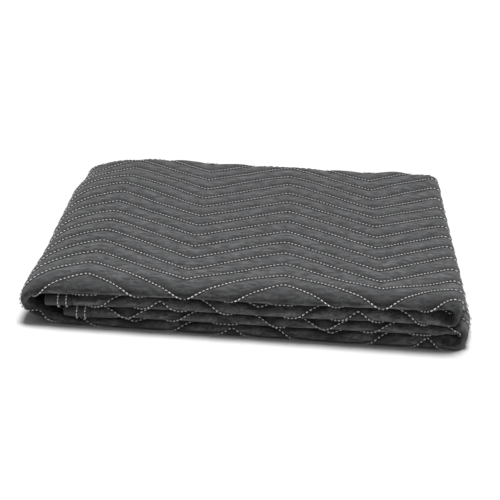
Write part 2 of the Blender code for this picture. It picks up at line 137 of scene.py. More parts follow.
@dataclass
class FoldedStrip:
    """The middle line of the four-ply strip, seen from the front, from the second layer's bound edge."""

    thickness: float = 0.012
    layer_gap: float = 0.0005
    # x, then where the bottom, third, second and top layers end above the floor
    stack: tuple[tuple[float, ...], ...] = (
        (-0.2145, 0.0105, 0.0185, 0.0305, 0.0482),
        (-0.1775, 0.0080, 0.0205, 0.0340, 0.0495),
        (-0.1245, 0.0102, 0.0220, 0.0362, 0.0495),
        (0.1805, 0.0130, 0.0232, 0.0371, 0.0495),
        (0.2134, 0.0116, 0.0232, 0.0362, 0.0492),
    )
    edge_of_second: float = -0.2105
    edge_of_third: float = -0.1925
    upper_fold: float = 0.2134
    lower_fold: float = 0.2239
    loop_top: float = -0.1895
    loop_bottom: float = -0.1775
    loop_tip: tuple[float, float] = (-0.2330, 0.0228)
    pull_top: float = 0.030
    pull_above: float = 0.0092
    pull_below: float = 0.0078
    pull_bottom: float = 0.028
    loop_thickness: float = 0.0092
    slack_right: float = 0.12
    slack_left: float = 0.40
    setback: dict[Layer, float] = field(
        default_factory=lambda: {Layer.SECOND: 0.001, Layer.TOP: 0.0, Layer.BOTTOM: 0.005, Layer.THIRD: 0.003}
    )
    step: float = 0.0015
    softness: float = 0.0028

    def __post_init__(self) -> None:
        """Lays the layers and turns one after another, and softens where they meet."""
        self.rows: list[tuple[float, ...]] = []
        self.starts: dict[str, float] = {}
        self.lay(Layer.SECOND, self.edge_of_second, self.upper_fold)
        self.turn(self.upper_fold, Layer.SECOND, Layer.TOP)
        self.mark("top")
        self.lay(Layer.TOP, self.upper_fold, self.loop_top)
        self.mark("loop")
        self.loop()
        self.mark("bottom")
        self.lay(Layer.BOTTOM, self.loop_bottom, self.lower_fold)
        self.mark("lower_fold")
        self.turn(self.lower_fold, Layer.BOTTOM, Layer.THIRD)
        self.mark("third")
        self.lay(Layer.THIRD, self.lower_fold, self.edge_of_third)
        self.soften()

    def mark(self, name: str) -> None:
        """Remembers which row starts this part of the strip."""
        self.starts[name] = len(self.rows) - 1

    def layer_at(self, layer: Layer, x: np.ndarray) -> tuple[np.ndarray, np.ndarray]:
        """A layer's middle height and its thickness.

        Args:
            layer: The layer of the stack.
            x: Places from left to right.

        Returns:
            The heights and the thicknesses.
        """
        places = [row[0] for row in self.stack]
        high = np.interp(x, places, [row[layer.value] for row in self.stack]) - self.layer_gap
        low = 0.0 * high
        if layer is not Layer.BOTTOM:
            low = np.interp(x, places, [row[layer.value - 1] for row in self.stack])
        return (low + high) / 2.0, high - low

    def lay(self, layer: Layer, start: float, end: float) -> None:
        """Adds a layer's straight run from its start to its end."""
        places = np.linspace(start, end, 2 + int(abs(end - start) / self.step))
        middles, thicknesses = self.layer_at(layer, places)
        for x, middle, thick in zip(places, middles, thicknesses):
            self.rows.append((x, middle, thick, self.setback[layer], 0.0))

    def turn(self, x: float, below: Layer, above: Layer, steps: int = 28) -> None:
        """Adds a tight half turn at the right, from one layer up to the next."""
        first, thick_below = self.layer_at(below, np.array(x))
        last, thick_above = self.layer_at(above, np.array(x))
        radius = (last - first) / 2.0
        for share in np.linspace(0.0, 1.0, steps)[1:]:
            angle = math.pi * share
            self.rows.append(
                (
                    x + radius * math.sin(angle),
                    first + radius * (1.0 - math.cos(angle)),
                    min(thick_below, thick_above),
                    self.setback[below] + share * (self.setback[above] - self.setback[below]),
                    self.slack_right,
                )
            )

    def loop(self, steps: int = 48) -> None:
        """Adds the big open turn at the left, from the top layer down to the bottom one."""
        top_x, top_z, top_thick = self.rows[-1][:3]
        tip_x, tip_z = self.loop_tip
        middle, thickness = self.layer_at(Layer.BOTTOM, np.array(self.loop_bottom))
        upper = (
            (top_x, top_z),
            (top_x - self.pull_top, top_z),
            (tip_x, tip_z + self.pull_above),
            self.loop_tip,
        )
        lower = (
            self.loop_tip,
            (tip_x, tip_z - self.pull_below),
            (self.loop_bottom - self.pull_bottom, middle),
            (self.loop_bottom, middle),
        )
        first, last = self.setback[Layer.TOP], self.setback[Layer.BOTTOM]
        halves = ((upper, top_thick, self.loop_thickness), (lower, self.loop_thickness, thickness))
        for half, (points, start_thick, end_thick) in enumerate(halves):
            for t in np.linspace(0.0, 1.0, steps)[1:]:
                u = 1.0 - t
                weights = (u**3, 3.0 * u * u * t, 3.0 * u * t * t, t**3)
                x, z = (sum(w * p[axis] for w, p in zip(weights, points)) for axis in (0, 1))
                whole = (half + t) / 2.0
                thick = start_thick + t * (end_thick - start_thick)
                self.rows.append((x, z, thick, first + whole * (last - first), self.slack_left))

    def soften(self) -> None:
        """Rounds the line where its parts meet, and measures the run along it."""
        rows = np.array(self.rows)
        path = running_total(np.hypot(*np.diff(rows[:, :2], axis=0).T))
        even = np.arange(0.0, path[-1], self.step)
        table = np.column_stack([np.interp(even, path, rows[:, column]) for column in range(rows.shape[1])])
        reach = int(3.0 * self.softness / self.step)
        weights = np.exp(-0.5 * (np.arange(-reach, reach + 1) * self.step / self.softness) ** 2)
        weights /= weights.sum()
        for column in range(4):
            first, last = table[0, column], table[-1, column]
            slope_in = table[1, column] - first
            slope_out = last - table[-2, column]
            before = first + slope_in * np.arange(-reach, 0)
            after = last + slope_out * np.arange(1, reach + 1)
            padded = np.concatenate((before, table[:, column], after))
            table[:, column] = np.convolve(padded, weights, mode="valid")
        self.x, self.z, self.thick, self.back, slack = table.T
        self.heading = np.unwrap(np.arctan2(np.gradient(self.z), np.gradient(self.x)))
        self.heading -= 2.0 * math.pi * round(self.heading[0] / (2.0 * math.pi))
        out = np.maximum(slack[:-1], slack[1:])
        step_x = np.diff(self.x) + out * self.thick[1:] * np.diff(np.sin(self.heading))
        step_z = np.diff(self.z) - out * self.thick[1:] * np.diff(np.cos(self.heading))
        self.run = running_total(np.hypot(step_x, step_z))
        self.length = float(self.run[-1])
        self.starts = {
            name: float(np.interp(path[row], even, self.run)) for name, row in self.starts.items()
        }

    def at(self, run: np.ndarray) -> tuple[np.ndarray, ...]:
        """The line's x, z, heading, thickness and setback at each run."""
        columns = (self.x, self.z, self.heading, self.thick, self.back)
        return tuple(np.interp(run, self.run, column) for column in columns)

    def run_on_top(self, x: float) -> float:
        """The run at which the top layer passes a place from left to right."""
        on_top = (self.run >= self.starts["top"]) & (self.run <= self.starts["loop"])
        return float(np.interp(-x, -self.x[on_top], self.run[on_top]))


@dataclass(frozen=True)
class Stretch:
    """One straight ply of the strip, or one turn between two plies."""

    length: float
    first_y: float
    share: float
    radius: float
    way: int
    face: int


@dataclass
class Plies:
    """The four plies across the strip, from the inside ply's bound edge at the rear."""

    depth: float = 0.49176
    pitch: float = 0.26
    cloth: float = 0.22
    strip_thickness: float = 0.012
    rear_setback: float = 0.0015
    inner_setback: float = 0.0030
    nose_reach: float = 1.8
    nose_gather: float = 1.5

    def __post_init__(self) -> None:
        """Works out where each ply starts and how long it is."""
        nose = 1.5 * self.pitch * self.strip_thickness
        tight = 0.5 * self.pitch * self.strip_thickness
        half = 0.5 * self.cloth * self.strip_thickness
        self.angles = np.linspace(0.0, math.pi, 181)
        self.front = self.nose_reach * (nose + half) - self.depth / 2.0
        rear = self.depth / 2.0 - self.rear_setback - tight - half
        inside = self.depth / 2.0 - self.front
        middle = rear - self.front
        wide, near = 1.5 * self.pitch, 0.5 * self.pitch
        self.stretches = (
            Stretch(inside, self.depth / 2.0, wide, 0.0, -1, 1),
            Stretch(self.nose_arc()[-1] * nose, self.front, wide, -nose, -1, 1),
            Stretch(middle, self.front, -wide, 0.0, 1, -1),
            Stretch(math.pi * tight, rear, -wide, tight, 1, -1),
            Stretch(middle, rear, -near, 0.0, -1, 1),
            Stretch(self.nose_arc()[-1] * tight, self.front, -near, -tight, -1, 1),
            Stretch(inside - self.inner_setback, self.front, near, 0.0, 1, -1),
        )
        lengths = [stretch.length for stretch in self.stretches]
        self.starts = running_total(lengths)
        self.across = float(self.starts[-1])
        self.nose_middle = (self.starts[1] + self.starts[2]) / 2.0
        self.rear_middle = (self.starts[3] + self.starts[4]) / 2.0

    def nose_arc(self) -> np.ndarray:
        """How far round a nose of radius 1 each angle is, a nose being drawn out to the front."""
        steps = np.diff(self.angles)
        middles = self.angles[1:] - steps / 2.0
        lengths = np.hypot(self.nose_reach * np.cos(middles), np.sin(middles)) * steps
        return self.nose_gather * running_total(lengths)

    def lines(self, from_front: tuple[float, ...], from_rear: tuple[float, ...]) -> list[float]:
        """Where the cloth is cut along the strip before it is folded.

        Args:
            from_front: Distances from the front of the strip, the same for each ply.
            from_rear: Distances from its rear, the same for each ply.

        Returns:
            Distances across the cloth, in order.
        """
        places: list[float] = []
        levels = [line - self.depth / 2.0 for line in from_front]
        levels += [self.depth / 2.0 - line for line in from_rear]
        for start, stretch in zip(self.starts, self.stretches):
            if stretch.radius:
                steps = 10 if abs(stretch.radius) == max(abs(s.radius) for s in self.stretches) else 5
                places += [start + stretch.length * step / steps for step in range(steps + 1)]
            else:
                places += [start + stretch.way * (level - stretch.first_y) for level in levels]
        return sorted(place for place in places if 0.0 < place < self.across)

    def at(self, across: np.ndarray, out: np.ndarray) -> tuple[np.ndarray, np.ndarray]:
        """Where a place on the cloth lies in the strip.

        Args:
            across: Distances across the cloth.
            out: Places in its thickness, -0.5 to 0.5.

        Returns:
            Each place's y, and its height from the strip's inside in shares of the strip's thickness.
        """
        index = np.clip(np.searchsorted(self.starts, across, side="right") - 1, 0, len(self.stretches) - 1)
        table = np.array([(s.first_y, s.share, s.radius, s.way, s.face) for s in self.stretches])
        first_y, share, radius, way, face = table[index].T
        along = across - self.starts[index]
        tight = np.where(radius == 0.0, 1.0, np.abs(radius))
        around = tight / self.strip_thickness
        drawn = np.where(radius < 0.0, self.nose_reach, 1.0)
        angle = np.where(radius < 0.0, np.interp(along / tight, self.nose_arc(), self.angles), along / tight)
        outward = np.where((share > 0.0) | (radius > 0.0), 1.0, -1.0)
        reach = around + outward * out * self.cloth
        side = np.where(share > 0.0, 1.0, -1.0)
        bulge = np.sign(radius) * drawn * reach * self.strip_thickness * np.sin(angle)
        turned = radius != 0.0
        y = np.where(turned, first_y + bulge, first_y + way * along)
        turned_height = share - side * around + side * reach * np.cos(angle)
        return y, -np.where(turned, turned_height, share + face * out * self.cloth)


@dataclass
class Settling:
    """How the folded stack has settled: a fuller front, a slack corner and noses drawn in at the right."""

    strip: FoldedStrip
    plies: Plies
    rise_left: float = 0.03
    rise_right: float = 0.135
    front_full: float = 0.018
    front_gone: float = 0.074
    corner_drop: float = 0.12
    rear_rise: float = 0.07
    rear_rise_x: float = 0.1
    corner_draw: float = 0.010
    corner_reach: float = 0.125
    corner_full: float = 0.028
    tip_x: float = -0.230
    right_draw: float = 0.007
    roll_drop: float = 0.0056
    roll_reach: float = 0.042
    roll_at_right: float = 0.45
    side_draw: float = 0.0045
    lens_depth: float = 0.0095
    lens_length: float = 0.040
    box_middle: tuple[float, float] = (-0.00145, 0.00265)
    height_waves: Unevenness = Unevenness(11, 0.105, 0.085)
    front_waves: Unevenness = Unevenness(23, 0.048, 1.0)
    wave_height: float = 0.0011
    wave_depth: float = 0.0009
    # How far before the right end the noses start to be drawn in, and how far past each fold its lens ends
    draw_before: float = 0.02
    fold_ends: tuple[float, float] = (0.008, 0.004)
    lens_full: float = 0.5
    lens_rim: float = 0.45
    least_width: float = 1e-6
    roll_before: float = 0.010
    roll_power: int = 3
    side_before: float = 0.02
    side_from_front: tuple[float, float] = (0.05, 0.15)

    def move(
        self, run: np.ndarray, x: np.ndarray, y: np.ndarray, z: np.ndarray, back: np.ndarray
    ) -> np.ndarray:
        """Moves places of the plain stack to where the real pad has settled.

        Args:
            run: Each place's run along the strip.
            x: Its place from left to right in the plain stack.
            y: Its place from front to rear.
            z: Its height.
            back: How far its layer is set back from the front.

        Returns:
            The places, a row each.
        """
        front, rear = -self.plies.depth / 2.0, self.plies.depth / 2.0
        stack, top = self.strip.stack, self.strip.stack[2][Layer.TOP.value]
        left_x, right_x = stack[2][0], stack[3][0]
        full = fade(y, front + self.front_full, front + self.front_gone)
        at_front = fade(y, front, front + self.front_gone)
        at_rear = ease(y, rear - self.corner_reach, rear - self.corner_full)
        rise = self.rise_left + (self.rise_right - self.rise_left) * ease(x, stack[1][0], right_x)
        slack = ease(-x, -left_x, -self.tip_x) * at_rear
        waves = self.wave_height / top * self.height_waves.at(x + 1.0, y + 1.0)
        rear_full = ease(x, self.rear_rise_x, right_x) * at_rear
        height = z * (1.0 + rise * full) * (1.0 - self.corner_drop * slack) * (1.0 + waves)
        height = height * (1.0 + self.rear_rise * rear_full)
        at_right = ease(x, right_x - self.draw_before, self.strip.lower_fold)
        right = x + self.corner_draw * slack - self.right_draw * at_front * at_right
        back = back + self.wave_depth * at_front * self.front_waves.at(run, 0.0 * run)
        for fold_x, above, below in (
            (self.strip.upper_fold + self.fold_ends[0], Layer.TOP, Layer.THIRD),
            (self.strip.lower_fold + self.fold_ends[1], Layer.THIRD, None),
        ):
            high = stack[-1][above.value]
            low = stack[-1][below.value] if below else 0.0
            into = np.clip((x - fold_x + self.lens_length) / self.lens_length, 0.0, 1.0)
            width = np.maximum(into * (high - low) / 2.0, self.least_width)
            inside = fade(np.abs(z - (high + low) / 2.0) / width, self.lens_rim, 1.0)
            back = back + self.lens_depth * ease(into, 0.0, self.lens_full) * inside * at_front
        rolled = np.clip(z / top, 0.0, 1.0) ** self.roll_power
        rolled = rolled * (1.0 - (1.0 - self.roll_at_right) * ease(x, 0.0, right_x))
        height = height - self.roll_drop * rolled * fade(y, front - self.roll_before, front + self.roll_reach)
        beside = ease(-x, -left_x - self.side_before, -self.tip_x)
        beside = beside * ease(y, *(front + line for line in self.side_from_front))
        right = right + self.side_draw * beside * (1.0 - slack)
        return np.column_stack((right - self.box_middle[0], y + back - self.box_middle[1], height))


@dataclass
class Quilting:
    """Zigzag rows of stitching, with soft puffs between them."""

    pitch: float = 1.5 * INCH
    half_run: float = 4 * INCH
    rise: float = 3 * INCH
    from_rear: float = 0.00715
    peak: float = 0.0
    first_row: float = 0.0
    peak_softness: float = 0.11
    valley_softness: float = 0.035
    seam_depth: float = 0.0007
    crown: float = 0.0015
    roundness: float = 0.85
    lean: float = 0.78
    on_seam: float = 0.0001
    wander: Unevenness = Unevenness(5, 0.055, 0.038)
    wander_size: float = 0.0009
    # How dark the painted shadow is behind a seam and before it, and how far each one reaches
    shadow_behind: tuple[float, float] = (0.95, 0.0092)
    shadow_before: tuple[float, float] = (0.35, 0.0020)

    def share(self, run: np.ndarray) -> np.ndarray:
        """How far each run lies from its nearest peak line, as a share of half a zigzag."""
        return np.abs(((np.asarray(run) - self.peak) / self.half_run + 1.0) % 2.0 - 1.0)

    def sharp_line(self, run: np.ndarray) -> np.ndarray:
        """A row's zigzag with sharp corners, which lies furthest across at its peaks."""
        return self.rise * (1.0 - self.share(run))

    def line(self, run: np.ndarray) -> np.ndarray:
        """A row's zigzag, rounded at its peaks and less at its valleys."""
        def soft(part: np.ndarray | float) -> np.ndarray:
            return np.hypot(part, self.peak_softness) - np.hypot(1.0 - part, self.valley_softness)

        part = self.share(run)
        return self.rise * (1.0 - (soft(part) - soft(0.0)) / (soft(1.0) - soft(0.0)))

    def row(self, run: np.ndarray, number: int) -> np.ndarray:
        """Where a row of stitching lies across the cloth, by its number from the first."""
        level = self.first_row + number * self.pitch + self.line(run)
        return level + self.wander_size * self.wander.at(run, level)

    def phase(self, run: np.ndarray, across: np.ndarray) -> np.ndarray:
        """How far a place is from the seam before it to the next, as a share."""
        level = across - self.wander_size * self.wander.at(run, across)
        return ((level - self.first_row - self.line(run)) / self.pitch + self.on_seam) % 1.0

    def puff(self, run: np.ndarray, across: np.ndarray) -> np.ndarray:
        """How full the cloth is, 0 on a seam to 1 between two, steeper behind each seam."""
        return np.sin(math.pi * self.phase(run, across) ** self.lean) ** self.roundness

    def shade(self, run: np.ndarray, across: np.ndarray) -> np.ndarray:
        """Painted shade: how light the cloth is painted, with painted shadow just behind each seam, and a
        little before it.
        """
        behind = self.phase(run, across) * self.pitch
        deep, reach = self.shadow_behind
        slight, near = self.shadow_before
        return 1.0 - deep * np.exp(-((behind / reach) ** 2)) - slight * np.exp(-(self.pitch - behind) / near)


@dataclass
class FoldedCloth:
    """The one map from the flat cloth to the folded pad, and what stands proud on its outer face."""

    strip: FoldedStrip = field(default_factory=FoldedStrip)
    plies: Plies = field(default_factory=Plies)
    quilting: Quilting = field(default_factory=Quilting)
    first_peak_x: float = -0.1695
    tape_width: float = 0.028
    tape_ramp: float = 0.0016
    gripped: float = 0.40
    pucker: Unevenness = Unevenness(31, 0.034, 0.0075)
    pucker_mask: Unevenness = Unevenness(37, 0.045, 0.050)
    pucker_height: float = 0.0005
    dimple: Unevenness = Unevenness(41, 0.026, 0.022)
    dimple_height: float = 0.0003
    # Painted shadow: how much darker the front of the top layer and the loop is painted
    front_shadow: float = 0.52
    front_calm: float = 0.55
    # Where each effect sets in and is gone, from the start of a turn or from the middle of a fold
    open_start: tuple[float, float] = (0.040, 0.015)
    open_end: float = 0.030
    open_nose: tuple[float, float] = (0.006, 0.004)
    open_rear: float = 0.004
    shown_start: tuple[float, float] = (0.050, 0.040)
    shown_step: float = 0.01
    shown_near: tuple[float, float] = (0.030, 0.038)
    shadow_near: tuple[float, float] = (0.012, 0.042)
    calm_near: tuple[float, float] = (0.055, 0.095)
    pucker_slant: float = 0.16
    pucker_patches: tuple[float, float] = (-0.1, 0.7)
    hem_ramp: float = 0.006

    def __post_init__(self) -> None:
        """Lines the zigzag up with the top layer."""
        self.settling = Settling(self.strip, self.plies)
        quilting, plies = self.quilting, self.plies
        quilting.peak = self.strip.run_on_top(self.first_peak_x)
        rear = plies.starts[2] - plies.front + plies.depth / 2.0
        quilting.first_row = (rear - quilting.from_rear - quilting.rise) % quilting.pitch

    def edge_distance(self, run: np.ndarray, across: np.ndarray) -> np.ndarray:
        """How far a place on the cloth is from its nearest bound edge."""
        from_ends = np.minimum(run, self.strip.length - run)
        return np.minimum(from_ends, np.minimum(across, self.plies.across - across))

    def grip(self, run: np.ndarray, across: np.ndarray) -> np.ndarray:
        """How much of the cloth's thickness the tape leaves at each place."""
        inside = ease(self.edge_distance(run, across), self.tape_width, self.tape_width + self.tape_ramp)
        return self.gripped + (1.0 - self.gripped) * inside

    def open_side(self, run: np.ndarray, across: np.ndarray) -> np.ndarray:
        """1 where the outer face is open to the air: the top layer, the loop and the upper fold."""
        starts, nose, rear = self.strip.starts, self.plies.nose_middle, self.plies.rear_middle
        along = ease(run, *(starts["top"] - before for before in self.open_start))
        along = along * fade(run, starts["bottom"] - self.open_end, starts["bottom"])
        before, past = self.open_nose
        return along * ease(across, nose - before, nose + past) * fade(across, rear, rear + self.open_rear)

    def shown(self, run: np.ndarray, across: np.ndarray) -> np.ndarray:
        """1 where the outer face shows at all, and its seams are raised."""
        starts, nose, rear = self.strip.starts, self.plies.nose_middle, self.plies.rear_middle
        outer = ease(across, nose - self.shown_step, nose) * fade(across, rear, rear + self.shown_step)
        along = ease(run, *(starts["top"] - before for before in self.shown_start))
        along = along * fade(run, starts["third"], starts["third"] + self.shown_step)
        near_nose, near_rear = (fade(np.abs(across - fold), *self.shown_near) for fold in (nose, rear))
        return np.maximum(np.maximum(outer * along, near_nose), near_rear)

    def shade(self, run: np.ndarray, across: np.ndarray) -> np.ndarray:
        """The painted shade of the outer face: painted shadow at its seams, where they show, and over the
        front of the top layer and the loop.
        """
        painted_shade = 1.0 - self.shown(run, across) * (1.0 - self.quilting.shade(run, across))
        # Painted shadow near the front nose, on the open side only
        front = fade(np.abs(across - self.plies.nose_middle), *self.shadow_near)
        return painted_shade * (1.0 - self.front_shadow * front * self.open_side(run, across))

    def relief(self, run: np.ndarray, across: np.ndarray) -> np.ndarray:
        """How far the outer face stands from the plain ply, in metres."""
        shown, free = self.shown(run, across), self.open_side(run, across)
        full = self.quilting.puff(run, across)
        near_front = fade(np.abs(across - self.plies.nose_middle), *self.calm_near)
        free = free * (1.0 - self.front_calm * near_front)
        level = self.quilting.crown * free * full - self.quilting.seam_depth * (1.0 - full)
        slant = across + self.pucker_slant * run
        fold = 1.0 - 2.0 * np.abs(self.pucker.at(run, slant))
        patches = ease(self.pucker_mask.at(run, across), *self.pucker_patches)
        level = level + self.pucker_height * fold * patches * free * full
        level = level + self.dimple_height * self.dimple.at(run, across) * free
        inside = ease(self.edge_distance(run, across), self.tape_width, self.tape_width + self.hem_ramp)
        return level * shown * inside

    def face(self, run: np.ndarray, across: np.ndarray) -> np.ndarray:
        """The height of the pad's outer face over the middle of its ply."""
        return self.half_ply(run) * self.grip(run, across) + self.relief(run, across)

    def half_ply(self, run: np.ndarray) -> np.ndarray:
        """Half the cloth's thickness at each run."""
        return 0.5 * self.plies.cloth * self.strip.at(run)[3]

    def place(self, run: np.ndarray, across: np.ndarray, height: np.ndarray) -> np.ndarray:
        """Folds places of the flat cloth into the pad.

        Args:
            run: The run along the strip.
            across: The distance across the cloth.
            height: How far each place stands out from the middle of its ply, in metres.

        Returns:
            The places in the frame, a row each.
        """
        x, z, heading, thick, back = self.strip.at(run)
        y, share = self.plies.at(across, height / (self.plies.cloth * thick))
        lowered = np.maximum(z - share * thick * np.cos(heading), 0.0)
        return self.settling.move(run, x + share * thick * np.sin(heading), y, lowered, back)


class Finish:
    """A material that is worked out by nodes on the cloth's own flat map, in metres."""

    def __init__(self, name: str) -> None:
        """Starts a material with its shader."""
        self.material = bpy.data.materials.new(name)
        self.material.use_nodes = True
        self.tree = self.material.node_tree
        self.shader = self.tree.nodes["Principled BSDF"]

    def node(self, kind: str, **settings: object) -> bpy.types.Node:
        """Adds a node.

        Args:
            kind: The node's type, without its first word.
            settings: Its properties. A name in capitals sets the socket of that name.

        Returns:
            The node.
        """
        node = self.tree.nodes.new("ShaderNode" + kind)
        for name, value in settings.items():
            if name[0].isupper():
                node.inputs[name.replace("_", " ")].default_value = value
            else:
                setattr(node, name, value)
        return node

    def link(self, start: bpy.types.NodeSocket, end: bpy.types.NodeSocket) -> None:
        """Joins two sockets."""
        self.tree.links.new(start, end)

    def flat_map(self, scale: tuple[float, float, float], turn: float = 0.0) -> bpy.types.NodeSocket:
        """The cloth's flat map in metres, scaled and turned."""
        flat = self.node("UVMap", uv_map=FLAT_MAP)
        mapping = self.node("Mapping")
        mapping.inputs["Scale"].default_value = scale
        mapping.inputs["Rotation"].default_value = (0.0, 0.0, turn)
        self.link(flat.outputs["UV"], mapping.inputs["Vector"])
        return mapping.outputs["Vector"]

    def noise(
        self, vector: bpy.types.NodeSocket, scale: float, detail: float, rough: float
    ) -> bpy.types.NodeSocket:
        """A noise read on a vector."""
        noise = self.node("TexNoise", Scale=scale, Detail=detail, Roughness=rough)
        self.link(vector, noise.inputs["Vector"])
        return noise.outputs["Fac"]

    def spread(
        self, value: bpy.types.NodeSocket, low: float, high: float, to_low: float, to_high: float
    ) -> bpy.types.NodeSocket:
        """Moves a value from one range to another."""
        node = self.node("MapRange", clamp=True)
        for name, number in zip(("From Min", "From Max", "To Min", "To Max"), (low, high, to_low, to_high)):
            node.inputs[name].default_value = number
        self.link(value, node.inputs["Value"])
        return node.outputs["Result"]

    def multiply(self, first: bpy.types.NodeSocket, second: bpy.types.NodeSocket) -> bpy.types.NodeSocket:
        """The product of two values."""
        node = self.node("Math", operation="MULTIPLY")
        self.link(first, node.inputs[0])
        self.link(second, node.inputs[1])
        return node.outputs[0]

    def tint(self, shade: bpy.types.NodeSocket, dark: tuple[float, ...], light: tuple[float, ...]) -> None:
        """Colours the shader from dark to light by a value."""
        mix = self.node("Mix", data_type="RGBA")
        mix.inputs[6].default_value = (*dark, 1.0)
        mix.inputs[7].default_value = (*light, 1.0)
        self.link(shade, mix.inputs["Factor"])
        self.link(mix.outputs[2], self.shader.inputs["Base Color"])

    def bump(self, *layers: tuple[bpy.types.NodeSocket, float]) -> None:
        """Raises the surface by several heights, each with its distance in metres."""
        below = None
        for height, distance in layers:
            node = self.node("Bump", Strength=1.0, Distance=distance)
            self.link(height, node.inputs["Height"])
            if below is not None:
                self.link(below, node.inputs["Normal"])
            below = node.outputs["Normal"]
        self.link(below, self.shader.inputs["Normal"])


@dataclass(frozen=True)
class QuiltedClothFinish:
    """Charcoal cotton-blend cloth: short fibres over a fine plain weave, with painted shade from the mesh:
    painted shadow at each seam and over the top layer's front.
    """

    dark: tuple[float, float, float] = (0.016, 0.0163, 0.0168)
    light: tuple[float, float, float] = (0.245, 0.248, 0.254)
    weave: float = 0.0011
    fibre: float = 0.0018
    mottle: float = 0.028
    streak: float = 0.0065
    # The range that each noise is read over, then the range of light that it gives
    fibre_light: tuple[float, ...] = (0.3, 0.7, 0.25, 1.0)
    mottle_light: tuple[float, ...] = (0.3, 0.7, 0.62, 1.0)
    streak_light: tuple[float, ...] = (0.38, 0.60, 0.25, 1.0)

    def make(self) -> bpy.types.Material:
        """Builds the material."""
        cloth = Finish("quilted_cloth")
        plain = cloth.flat_map((1.0, 1.0, 1.0))
        fibres = cloth.noise(cloth.flat_map((0.55, 1.0, 1.0), 0.3), 1.0 / self.fibre, 5.0, 0.65)
        weave = cloth.noise(plain, 1.0 / self.weave, 3.0, 0.8)
        mottle = cloth.noise(plain, 1.0 / self.mottle, 4.0, 0.6)
        creases = cloth.noise(cloth.flat_map((0.22, 1.0, 1.0), -0.2), 150.0, 3.0, 0.55)
        streaks = cloth.noise(cloth.flat_map((0.55, 1.0, 1.0), 0.5), 1.0 / self.streak, 3.0, 0.7)
        fibre_light = cloth.spread(fibres, *self.fibre_light)
        shade = cloth.multiply(fibre_light, cloth.spread(mottle, *self.mottle_light))
        shade = cloth.multiply(shade, cloth.spread(streaks, *self.streak_light))
        # Painted shade from the mesh: painted shadow at the seams and over the top layer's front
        painted_shade = cloth.node("Attribute", attribute_name=SHADE)
        shade = cloth.multiply(shade, painted_shade.outputs["Fac"])
        cloth.tint(shade, self.dark, self.light)
        cloth.shader.inputs["Roughness"].default_value = 0.92
        cloth.shader.inputs["Specular IOR Level"].default_value = 0.25
        cloth.shader.inputs["Sheen Weight"].default_value = 0.22
        cloth.shader.inputs["Sheen Roughness"].default_value = 0.55
        cloth.shader.inputs["Sheen Tint"].default_value = (0.62, 0.63, 0.66, 1.0)
        cloth.bump((creases, 0.0011), (fibres, 0.0007), (weave, 0.00045))
        return cloth.material


@dataclass(frozen=True)
class BindingTapeFinish:
    """Dark woven tape with fine ribs across it."""

    dark: tuple[float, float, float] = (0.040, 0.041, 0.043)
    light: tuple[float, float, float] = (0.085, 0.087, 0.090)
    rib: float = 0.0013
    # The range that each noise is read over, then the range of light that it gives
    fibre_light: tuple[float, ...] = (0.25, 0.75, 0.35, 1.0)
    mottle_light: tuple[float, ...] = (0.3, 0.7, 0.7, 1.0)

    def make(self) -> bpy.types.Material:
        """Builds the material."""
        tape = Finish("binding_tape")
        plain = tape.flat_map((1.0, 1.0, 1.0))
        ribs = tape.node(
            "TexWave", wave_type="BANDS", bands_direction="Y", Scale=BANDS_APART / self.rib, Distortion=0.6
        )
        tape.link(plain, ribs.inputs["Vector"])
        fibres = tape.noise(plain, 900.0, 4.0, 0.7)
        mottle = tape.noise(plain, 45.0, 3.0, 0.6)
        fibre_light = tape.spread(fibres, *self.fibre_light)
        shade = tape.multiply(fibre_light, tape.spread(mottle, *self.mottle_light))
        tape.tint(shade, self.dark, self.light)
        tape.shader.inputs["Roughness"].default_value = 0.85
        tape.shader.inputs["Specular IOR Level"].default_value = 0.3
        tape.shader.inputs["Sheen Weight"].default_value = 0.15
        tape.bump((ribs.outputs["Fac"], 0.00035), (fibres, 0.0005))
        return tape.material


@dataclass(frozen=True)
class ThreadFinish:
    """Off-white twisted cotton thread."""

    dark: tuple[float, float, float] = (0.66, 0.65, 0.63)
    light: tuple[float, float, float] = (0.88, 0.87, 0.85)
    strand: float = 0.0006
    # The range that each pattern is read over, then the range of light that it gives
    wear_light: tuple[float, ...] = (0.3, 0.7, 0.55, 1.0)
    twist_light: tuple[float, ...] = (0.0, 1.0, 0.7, 1.0)

    def make(self) -> bpy.types.Material:
        """Builds the material."""
        thread = Finish("sewing_thread")
        place = thread.node("TexCoord").outputs["Object"]
        twist = thread.node(
            "TexWave", wave_type="BANDS", bands_direction="DIAGONAL", Scale=BANDS_APART / self.strand
        )
        thread.link(place, twist.inputs["Vector"])
        wear = thread.noise(place, 160.0, 3.0, 0.6)
        wear_light = thread.spread(wear, *self.wear_light)
        shade = thread.multiply(wear_light, thread.spread(twist.outputs["Fac"], *self.twist_light))
        thread.tint(shade, self.dark, self.light)
        thread.shader.inputs["Roughness"].default_value = 0.7
        thread.bump((twist.outputs["Fac"], 0.00012))
        return thread.material


@dataclass(frozen=True)
class FloorFinish:
    """A plain pale studio floor."""

    colour: tuple[float, float, float] = (0.86, 0.86, 0.86)
    grain_dark: float = 0.985

    def make(self) -> bpy.types.Material:
        """Builds the material."""
        floor = Finish("studio_floor")
        place = floor.node("TexCoord").outputs["Object"]
        grain = floor.noise(place, 6.0, 2.0, 0.5)
        darker = tuple(self.grain_dark * channel for channel in self.colour)
        floor.tint(grain, darker, self.colour)
        floor.shader.inputs["Roughness"].default_value = 0.8
        floor.shader.inputs["Specular IOR Level"].default_value = 0.2
        return floor.material


